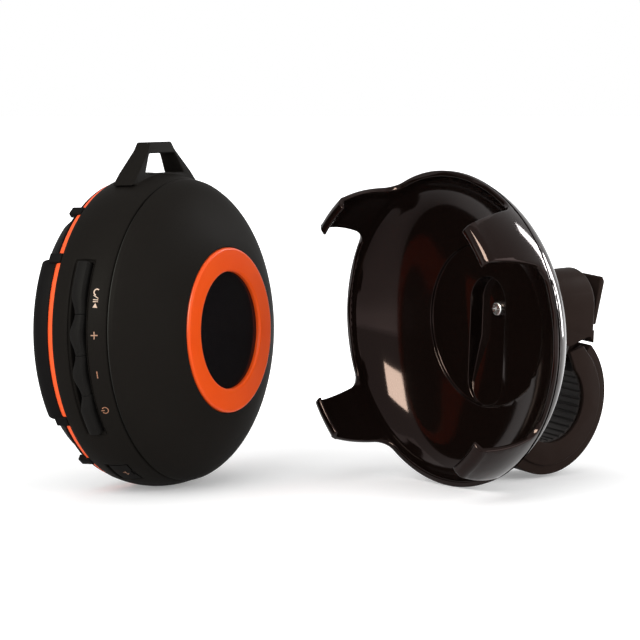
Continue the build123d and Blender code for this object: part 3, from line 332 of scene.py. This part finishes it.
clamp_brown = stippled("clamp_plastic", shade(34, 26, 23), CRADLE, 0.42, 4.0, 0.02, level=0.012)
pad_rubber = stippled("pad_rubber", shade(30, 26, 24), CRADLE, 0.62, 3.0, 0.03, level=0.3)
key_rubber = stippled("key_rubber", shade(24, 23, 22), SPEAKER, 0.5, 5.0, 0.014, level=0.008)
flap_rubber = stippled("flap_rubber", shade(22, 21, 20), SPEAKER, 0.54, 5.0, 0.014, level=0.008)
gasket_rubber = stippled("gasket_rubber", shade(12, 11, 11), SPEAKER, 0.7, 3.0, 0.01, level=0.2)
print("stippled finishes made")


# %% [markdown]
# ## Metal, mesh, card and ink
# Turned and stamped metal shows fine brushing, so its roughness runs in streaks. The acoustic mesh
# is woven, drawn here with two crossed wave textures. The printed symbols are copper ink with a
# slightly broken coverage.


# %% Metals
def brushed(name, color, matrix, roughness):
    """Metal with streaks across the local Y."""
    finish = Finish(name, color, roughness, metallic=1.0)
    place = finish.place(matrix)
    streaks = finish.streaks(place, (0.6, 9.0, 0.6))
    darker = tuple(c * 0.72 for c in color)
    finish.paint(base_color=finish.blend(streaks, darker, color), roughness=streaks * 0.18 + roughness)
    finish.bump(streaks, 0.008)
    return finish.material


speaker_steel = brushed("speaker_steel", shade(196, 198, 200), SPEAKER, 0.26)
cradle_steel = brushed("cradle_steel", shade(214, 214, 214), CRADLE, 0.16)
cradle_brass = brushed("cradle_brass", shade(205, 172, 100), CRADLE, 0.24)
coil_copper = brushed("coil_copper", shade(184, 112, 72), SPEAKER, 0.3)


# %% Mesh, board and ink
def woven(name, color, matrix, pitch):
    """Fine square weave."""
    finish = Finish(name, color, 0.7, specular_ior_level=0.3)
    place = finish.place(matrix)
    warp = finish.add("ShaderNodeTexWave", {"bands_direction": "X"}, {"Vector": place, "Scale": pitch})
    weft = finish.add("ShaderNodeTexWave", {"bands_direction": "Y"}, {"Vector": place, "Scale": pitch})
    cloth = warp * weft
    lighter = tuple(c * 2.4 + 0.004 for c in color)
    finish.paint(base_color=finish.blend(cloth, color, lighter), roughness=0.8 - cloth * 0.2)
    finish.bump(cloth, 0.05)
    return finish.material


mesh_cloth = woven("mesh_cloth", shade(16, 16, 16), SPEAKER, 1.1)
grille_paint = stippled("grille_paint", shade(26, 26, 26), SPEAKER, 0.4, 6.0, 0.012)
board_green = stippled("board_green", shade(20, 84, 48), SPEAKER, 0.35, 1.5, 0.01)
cell_foil = stippled("cell_foil", shade(150, 154, 160), SPEAKER, 0.4, 0.8, 0.02)
switch_grey = stippled("switch_grey", shade(116, 116, 118), SPEAKER, 0.45, 2.0, 0.01)
washer_grey = stippled("washer_grey", shade(150, 148, 140), CRADLE, 0.5, 2.0, 0.01)
cone_card = stippled("cone_card", shade(58, 58, 60), SPEAKER, 0.7, 1.2, 0.05)

copper_ink = Finish("copper_ink", shade(196, 132, 92), 0.45, specular_ior_level=0.4)
ink_place = copper_ink.place(SPEAKER)
coverage = copper_ink.noise(ink_place, 3.0, 3.0, 0.6)
copper_ink.paint(
    base_color=copper_ink.blend(coverage, shade(128, 84, 58), shade(158, 110, 80)),
    roughness=coverage * 0.2 + 0.35,
)
copper_ink.bump(coverage, 0.01)
print("materials in the file:", len(bpy.data.materials))

# %% [markdown]
# ## Dressing the CAD nodes
# Every CAD solid whose shape is right stays, and only its material slot changes. The list reads
# like a parts list with its finishes.

# %% Give each node its finish
DRESS = {
    "rim_band": shell_black,
    "rear_shell": shell_black,
    "seam_gasket": gasket_rubber,
    "rear_ring": ring_orange,
    "rear_plate": plate_gloss,
    "front_trim_ring": trim_orange,
    "front_bezel": bezel_black,
    "grille": grille_paint,
    "acoustic_mesh": mesh_cloth,
    "key_play": key_rubber,
    "key_volume_up": key_rubber,
    "key_volume_down": key_rubber,
    "key_power": key_rubber,
    "key_board": board_green,
    "key_switches": switch_grey,
    "port_flap": flap_rubber,
    "usb_socket": speaker_steel,
    "driver_basket": grille_paint,
    "driver_surround": gasket_rubber,
    "driver_cone": cone_card,
    "voice_coil": coil_copper,
    "driver_yoke": speaker_steel,
    "driver_magnet": speaker_steel,
    "housing_screws": speaker_steel,
    "driver_screws": speaker_steel,
    "main_board": board_green,
    "board_screws": speaker_steel,
    "battery": cell_foil,
    "cradle_bowl": cradle_gloss,
    "swivel_screw": cradle_steel,
    "friction_washer": washer_grey,
    "swivel_nut": cradle_brass,
    "clamp_body": clamp_brown,
    "upper_pad": pad_rubber,
    "lower_jaw": clamp_brown,
    "lower_pad": pad_rubber,
    "jaw_pin": cradle_steel,
    "jaw_spring": cradle_steel,
}
for name, material in DRESS.items():
    nodes[name].data.materials.clear()
    nodes[name].data.materials.append(material)
print("dressed", len(DRESS), "of", len(nodes))


# %% [markdown]
# ## Working as by hand
# A few helpers stand for what one does at the keyboard: clear the selection, take a copy of a
# solid, weld it, ease its edges, and lay the finished piece into the room with its origin at zero.


# %% Helpers for pieces
def alone(piece):
    """Deselects everything and makes one piece active."""
    bpy.ops.object.select_all(action="DESELECT")
    piece.select_set(True)
    bpy.context.view_layer.objects.active = piece


def edit(piece):
    """Opens edit mode on one piece with everything in it selected."""
    alone(piece)
    bpy.ops.object.mode_set(mode="EDIT")
    bpy.ops.mesh.select_all(action="SELECT")


def apply_modifier(piece, kind, **settings):
    """Adds a modifier, sets it and applies it."""
    alone(piece)
    modifier = piece.modifiers.new(kind.title(), kind)
    for key, value in settings.items():
        setattr(modifier, key, value)
    bpy.ops.object.modifier_apply(modifier=modifier.name)


def lay_in(piece, name, matrix, body, material, replaced=()):
    """Puts a piece drawn in a local frame into the room and hands it to its body."""
    piece.name = name
    piece.data.name = name
    piece.matrix_world = matrix
    alone(piece)
    bpy.ops.object.transform_apply(location=True, rotation=True, scale=True)
    piece.data.materials.clear()
    piece.data.materials.append(material)
    bpy.ops.object.shade_smooth_by_angle(angle=radians(35))
    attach(piece, body)
    if replaced:
        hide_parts(*replaced)
    print(name, "faces", len(piece.data.polygons))


def spun_section(corners, start, arc, steps):
    """Solid made by spinning a closed section of (radius, height) corners round the local Z."""
    bpy.ops.object.select_all(action="DESELECT")
    bpy.ops.mesh.primitive_circle_add(vertices=len(corners), radius=1, fill_type="NGON")
    piece = bpy.context.object
    a = radians(start)
    for vertex, (radius, height) in zip(piece.data.vertices, corners):
        vertex.co = (radius * MM * cos(a), radius * MM * sin(a), height * MM)
    edit(piece)
    bpy.ops.mesh.spin(steps=steps, angle=-radians(arc), center=(0, 0, 0), axis=(0, 0, 1))
    bpy.ops.mesh.select_all(action="SELECT")
    bpy.ops.mesh.remove_doubles(threshold=1e-7)
    bpy.ops.mesh.normals_make_consistent(inside=False)
    bpy.ops.object.mode_set(mode="OBJECT")
    return piece


# %% [markdown]
# ## Eased edges
# A mould leaves no knife edges: every rim, slot and claw has a small radius, and that radius is
# what catches the light. The solids have sharp edges, so a copy of each large moulding is welded,
# its flat areas are joined into single faces, and a Bevel modifier rounds what is sharper than a
# set angle. The copy then stands for its solid.


# %% Round the edges of the large mouldings
def eased(node, radius_mm, body, material, angle=40, clamped=False):
    """A welded copy of a solid with its sharp edges rounded."""
    piece = nodes[node].copy()
    piece.data = nodes[node].data.copy()
    piece.parent = None
    for key in list(piece.keys()):
        del piece[key]
    bpy.context.scene.collection.objects.link(piece)
    alone(piece)
    bpy.ops.mesh.customdata_custom_splitnormals_clear()
    edit(piece)
    bpy.ops.mesh.remove_doubles(threshold=2e-6)
    bpy.ops.mesh.dissolve_limited(angle_limit=radians(0.8))
    bpy.ops.object.mode_set(mode="OBJECT")
    apply_modifier(
        piece,
        "BEVEL",
        width=radius_mm * MM,
        segments=3,
        limit_method="ANGLE",
        angle_limit=radians(angle),
        use_clamp_overlap=clamped,
    )
    lay_in(piece, node + "_eased", Matrix.Identity(4), body, material, (node,))


eased("cradle_bowl", 0.35, "cradle", cradle_gloss)
eased("rim_band", 0.4, "speaker", shell_black)
eased("clamp_body", 0.3, "clamp", clamp_brown, clamped=True)
eased("lower_jaw", 0.35, "jaw", clamp_brown)
eased("front_bezel", 0.35, "speaker", bezel_black)

# %% [markdown]
# ## Four keys in one wavy ribbon
# The keys read as one rubber ribbon with a waving front edge and a gently waving back edge. Each key
# could be carved from a box, but it lies on a round wall, so its section is drawn once and spun
# round the speaker's axis. The front edge is then pulled back in a wave, and the crest rises and
# falls with it, which leaves the dark crescents in front of the ribbon.

# %% Model the keys
CROWN_R = 48.6
KEY_Z = 9.4
KEY_HALF = 2.35
KEY_STEP = 14.3
KEY_SPLIT = 0.08
FRONT_WAVE = 1.5
BACK_WAVE = 0.45
CREST_DROP = 0.3
KEYS = {
    "key_play": (16.9, 4.6, 0.0),
    "key_volume_up": (2.6, 0.0, 0.0),
    "key_volume_down": (-11.7, 0.0, 0.0),
    "key_power": (-26.0, 0.0, 1.4),
}
KEY_CREST = CROWN_R + 1.25
KEY_ROOT = 44.4
for name, (middle, top_extra, low_extra) in KEYS.items():
    low = middle - KEY_STEP / 2 + (KEY_SPLIT if low_extra == 0 else -low_extra)
    high = middle + KEY_STEP / 2 - (KEY_SPLIT if top_extra == 0 else -top_extra)
    section = (
        (KEY_ROOT, KEY_Z - KEY_HALF),
        (KEY_CREST - 0.9, KEY_Z - KEY_HALF),
        (KEY_CREST - 0.25, KEY_Z - KEY_HALF + 0.28),
        (KEY_CREST, KEY_Z - KEY_HALF + 0.95),
        (KEY_CREST, KEY_Z + KEY_HALF - 1.7),
        (KEY_CREST - 0.3, KEY_Z + KEY_HALF - 0.8),
        (KEY_CREST - 1.0, KEY_Z + KEY_HALF - 0.1),
        (KEY_ROOT, KEY_Z + KEY_HALF - 0.1),
    )
    piece = spun_section(section, low, high - low, 28)
    for vertex in piece.data.vertices:
        x, y, z = vertex.co
        radius = (x * x + y * y) ** 0.5
        offset = degrees(atan2(y, x)) - middle
        outer_end = (offset > 0 and top_extra > 0) or (offset < 0 and low_extra > 0)
        wave = 1 if outer_end else 0.5 + 0.5 * cos(offset / KEY_STEP * 2 * pi)
        if z > (KEY_Z + 0.3) * MM and radius > (CROWN_R - 1.2) * MM:
            vertex.co.z -= FRONT_WAVE * (1 - wave) * MM
        if z < (KEY_Z - 0.3) * MM:
            vertex.co.z += BACK_WAVE * wave * MM
        if radius > (CROWN_R + 0.2) * MM:
            drop = CREST_DROP * (1 - wave) * MM
            vertex.co.x -= drop * x / radius
            vertex.co.y -= drop * y / radius
    apply_modifier(
        piece,
        "BEVEL",
        width=0.07 * MM,
        segments=2,
        limit_method="ANGLE",
        angle_limit=radians(50),
    )
    lay_in(piece, name + "_cap", SPEAKER, name, key_rubber, (name,))

# %% [markdown]
# ## Printed symbols
# The symbols beside the keys are printed on the band with copper-coloured ink. They could be
# painted with a texture, but thin pieces keep their edges crisp at any distance. Each symbol is
# drawn flat, pressed onto the band with a Shrinkwrap modifier and given the thickness of ink.

# %% Symbol helpers
INK_LIFT = 0.02
INK_THICK = 0.04


def flat_piece(corners):
    """One flat face with these corners, in millimetres."""
    bpy.ops.object.select_all(action="DESELECT")
    bpy.ops.mesh.primitive_circle_add(vertices=len(corners), radius=1, fill_type="NGON")
    piece = bpy.context.object
    for vertex, (u, v) in zip(piece.data.vertices, corners):
        vertex.co = (u * MM, v * MM, 0)
    return piece


def bar(u, v, length, width, turn=0.0):
    """A stroke round (u, v)."""
    c, s = cos(radians(turn)), sin(radians(turn))
    x, y = length / 2, width / 2
    corners = ((-x, -y), (x, -y), (x, y), (-x, y))
    return [flat_piece([(u + a * c - b * s, v + a * s + b * c) for a, b in corners])]


def arc(u, v, radius, width, start, end, steps=14):
    """A bent stroke, as short flat pieces."""
    pieces = []
    for i in range(steps):
        a = radians(start + (end - start) * i / steps)
        b = radians(start + (end - start) * (i + 1) / steps)
        inner, outer = radius - width / 2, radius + width / 2
        pieces.append(
            flat_piece(
                [
                    (u + inner * cos(a), v + inner * sin(a)),
                    (u + outer * cos(a), v + outer * sin(a)),
                    (u + outer * cos(b), v + outer * sin(b)),
                    (u + inner * cos(b), v + inner * sin(b)),
                ]
            )
        )
    return pieces


def print_symbol(name, pieces, angle, height, target="rim_band"):
    """Joins flat strokes, stands them on the band at this angle, and presses them on."""
    bpy.ops.object.select_all(action="DESELECT")
    for piece in pieces:
        piece.select_set(True)
    bpy.context.view_layer.objects.active = pieces[0]
    if len(pieces) > 1:
        bpy.ops.object.join()
    symbol = bpy.context.view_layer.objects.active
    edit(symbol)
    bpy.ops.mesh.remove_doubles(threshold=1e-7)
    bpy.ops.mesh.quads_convert_to_tris()
    bpy.ops.mesh.subdivide(number_cuts=2)
    bpy.ops.mesh.normals_make_consistent(inside=False)
    bpy.ops.object.mode_set(mode="OBJECT")
    a = radians(angle)
    outward = Vector((cos(a), sin(a), 0))
    around = Vector((-sin(a), cos(a), 0))
    forward = Vector((0, 0, 1))
    stand = Matrix((around, forward, around.cross(forward))).transposed().to_4x4()
    spot = outward * (CROWN_R + 0.6) * MM + forward * height * MM
    symbol.matrix_world = SPEAKER @ Matrix.Translation(spot) @ stand
    alone(symbol)
    bpy.ops.object.transform_apply(location=True, rotation=True, scale=True)
    apply_modifier(
        symbol,
        "SHRINKWRAP",
        target=nodes[target],
        wrap_method="NEAREST_SURFACEPOINT",
        wrap_mode="ABOVE_SURFACE",
        offset=INK_LIFT * MM,
    )
    apply_modifier(symbol, "SOLIDIFY", thickness=INK_THICK * MM, offset=0)
    body = nodes[target].parent.name.replace("body:", "")
    lay_in(symbol, name, Matrix.Identity(4), body, copper_ink.material)


# %% Print play and call, plus, minus, power and the charging mark
ICON_Z = 3.4
STROKE = 0.34
print_symbol(
    "mark_play_call",
    arc(2.0, -0.1, 0.95, 0.38, -40, 165)
    + bar(0.55, 0.0, 1.9, STROKE * 0.7, 62)
    + bar(-0.35, 0.0, 1.7, STROKE * 0.8, 90)
    + bar(-0.95, 0.0, 1.7, STROKE * 0.8, 90)
    + [flat_piece([(-2.8, -0.8), (-1.4, 0.0), (-2.8, 0.8)])],
    15.6,
    ICON_Z,
)
print_symbol("mark_plus", bar(0, 0, 2.3, STROKE) + bar(0, 0, 2.3, STROKE, 90), 2.5, ICON_Z)
print_symbol("mark_minus", bar(0, 0, 2.2, STROKE), -11.6, ICON_Z)
print_symbol(
    "mark_power",
    arc(0, 0, 1.05, STROKE * 0.85, 125, 415) + bar(0, 0.75, 1.25, STROKE * 0.85, 90),
    -25.4,
    ICON_Z,
)
print_symbol(
    "mark_charge",
    bar(0, 0, 2.4, STROKE * 0.7)
    + bar(0.5, 0.45, 0.9, STROKE * 0.6, 60)
    + bar(-0.3, -0.45, 0.9, STROKE * 0.6, -60),
    -59.2,
    8.6,
    target="port_flap",
)

# %% [markdown]
# ## Studio
# A white floor in a white room. The floor's own glow is weaker near the pair and rises to white
# further out, which paints a darker shade round them on top of their cast shadows. Two large soft
# lamps, front left and front right, shape the black shells, and a weak one hangs above. Two more
# are seen only in reflections: a strip behind the cradle draws the bright line on its rim, and a
# warm window leaves its patch in the bowl. The room lights the object less than it shows itself.
# The camera stands low and far away with a long lens, as product photographers do.

# %% Floor and room
SEEN_BY = ("Is Camera Ray", "Is Glossy Ray", "Is Transmission Ray")
# The floor's glow for the camera is weaker near the middle, a painted shade round the pair, and white
# beyond GLOW_TO.
GLOW_NEAR_PAINTED_SHADE = 0.24
GLOW_FROM = 0.09
GLOW_TO = 0.28
ROOM_LIGHT = 0.36
bpy.ops.object.select_all(action="DESELECT")
bpy.ops.mesh.primitive_plane_add(size=24, location=(0, 0, 0))
floor = bpy.context.object
floor.name = "studio_floor"
floor_paint = Finish("studio_floor_white", (0.86, 0.86, 0.86), 0.9, specular_ior_level=0.1)
camera_rays, gloss_rays, clear_rays = (
    floor_paint.add("ShaderNodeLightPath", output=ray) for ray in SEEN_BY
)
spot = floor_paint.add("ShaderNodeTexCoord", output="Object")
away = floor_paint.add("ShaderNodeVectorMath", {"operation": "LENGTH"}, {0: spot}, output="Value")
far = floor_paint.add(
    "ShaderNodeMapRange",
    {"interpolation_type": "SMOOTHSTEP"},
    {
        "Value": away,
        "From Min": GLOW_FROM,
        "From Max": GLOW_TO,
        "To Min": GLOW_NEAR_PAINTED_SHADE,
        "To Max": 1.0,
    },
)
glow = floor_paint.blend(far, (0, 0, 0), (1, 1, 1))
floor_paint.shader.inputs["Emission Strength"].default_value = 1.0
floor_paint.paint(
    emission_color=floor_paint.add(
        "ShaderNodeMix",
        {"data_type": "RGBA", "clamp_factor": True},
        {0: camera_rays + gloss_rays + clear_rays, 6: (0, 0, 0, 1), 7: glow},
        output=2,
    )
)
floor.data.materials.append(floor_paint.material)

world = bpy.data.worlds.new("studio_room")
bpy.context.scene.world = world
world.use_nodes = True
room = world.node_tree
back = room.nodes["Background"]
back.inputs["Color"].default_value = (1, 1, 1, 1)
path = room.nodes.new("ShaderNodeLightPath")
seen = None
for ray in SEEN_BY:
    either = room.nodes.new("ShaderNodeMath")
    either.operation = "MAXIMUM"
    room.links.new(path.outputs[ray], either.inputs[0])
    if seen is not None:
        room.links.new(seen, either.inputs[1])
    seen = either.outputs[0]
strength = room.nodes.new("ShaderNodeMapRange")
room.links.new(seen, strength.inputs["Value"])
strength.inputs["To Min"].default_value = ROOM_LIGHT
strength.inputs["To Max"].default_value = 1.0
room.links.new(strength.outputs["Result"], back.inputs["Strength"])


# %% Lamps
def softbox(name, place, aim, size, watts, color=(1, 1, 1)):
    """A rectangular soft lamp that looks at a point."""
    light = bpy.data.lights.new(name, "AREA")
    light.shape = "RECTANGLE"
    light.size, light.size_y = size
    light.energy = watts
    light.color = color
    lamp = bpy.data.objects.new(name, light)
    bpy.context.scene.collection.objects.link(lamp)
    lamp.location = place
    lamp.rotation_euler = (Vector(aim) - Vector(place)).to_track_quat("-Z", "Y").to_euler()
    return lamp


HEART = (-0.03, 0, 0.05)
softbox("lamp_key", (-0.55, -0.75, 0.5), HEART, (1.0, 1.0), 7.0).visible_glossy = False
softbox("lamp_right", (0.95, -0.65, 0.45), HEART, (0.8, 0.8), 8.0)
softbox("lamp_rim", (0.62, 0.42, 0.22), (0.06, 0, 0.05), (0.10, 0.7), 8.0).visible_diffuse = False
softbox("lamp_top", (0.0, 0.1, 0.95), (0, 0, 0.05), (0.9, 0.7), 1.5)
softbox(
    "lamp_window", (-0.55, -0.75, 0.52), HEART, (0.42, 0.42), 31.0, (1.0, 1.0, 0.84)
).visible_diffuse = False

# %% Camera
AIM = Vector((-2.99, -3.34, 52.0)) * MM
DISTANCE = 0.8034
ELEVATION = radians(5)
lens = bpy.data.cameras.new("studio_camera")
lens.lens = 146.25
lens.sensor_width = 36
lens.clip_start = 0.05
camera = bpy.data.objects.new("studio_camera", lens)
bpy.context.scene.collection.objects.link(camera)
camera.location = AIM + Vector((0, -cos(ELEVATION), sin(ELEVATION))) * DISTANCE
camera.rotation_euler = (AIM - camera.location).to_track_quat("-Z", "Y").to_euler()
bpy.context.scene.camera = camera
bpy.context.scene.view_settings.view_transform = "Standard"
